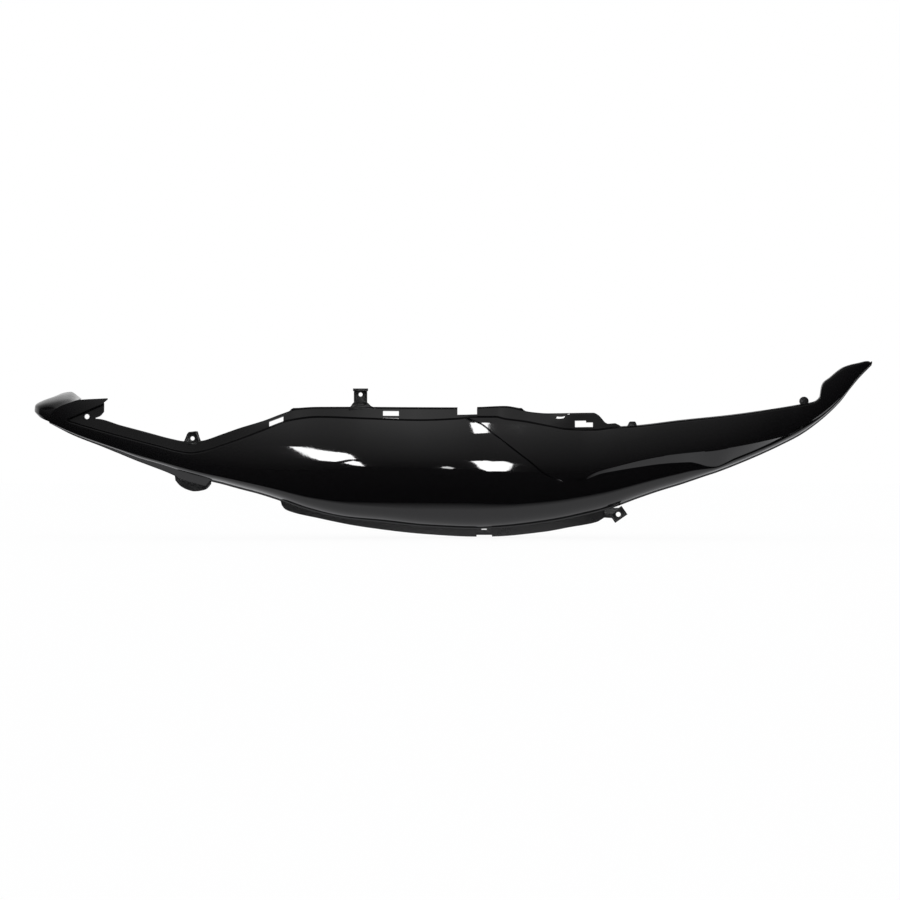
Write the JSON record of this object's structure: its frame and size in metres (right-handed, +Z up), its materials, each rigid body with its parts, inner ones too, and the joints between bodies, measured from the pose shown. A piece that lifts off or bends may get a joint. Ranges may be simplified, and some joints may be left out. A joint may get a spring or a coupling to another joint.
{
  "type": "scooter side panel",
  "caption": "Long glossy rear side panel of a scooter: a bowed shell with an under-curl, stepped upper flange with slots, lugs, a wrapped nose and a swept tail.",
  "frame": {"origin": "mouth of the bore in the upper lug, on the floor of its tray", "axes": "+X from the nose to the tail, +Z up on the scooter, -Y out of the outer face"},
  "size_m": [1.016, 0.086, 0.2125],
  "materials": {
    "gloss_black_plastic": "high gloss, moulded in black",
    "satin_black_plastic": "satin inner side, lugs and flanges as they leave the mould"
  },
  "bodies": {
    "root": {"side_panel": "gloss_black_plastic"}
  },
  "joints": []
}
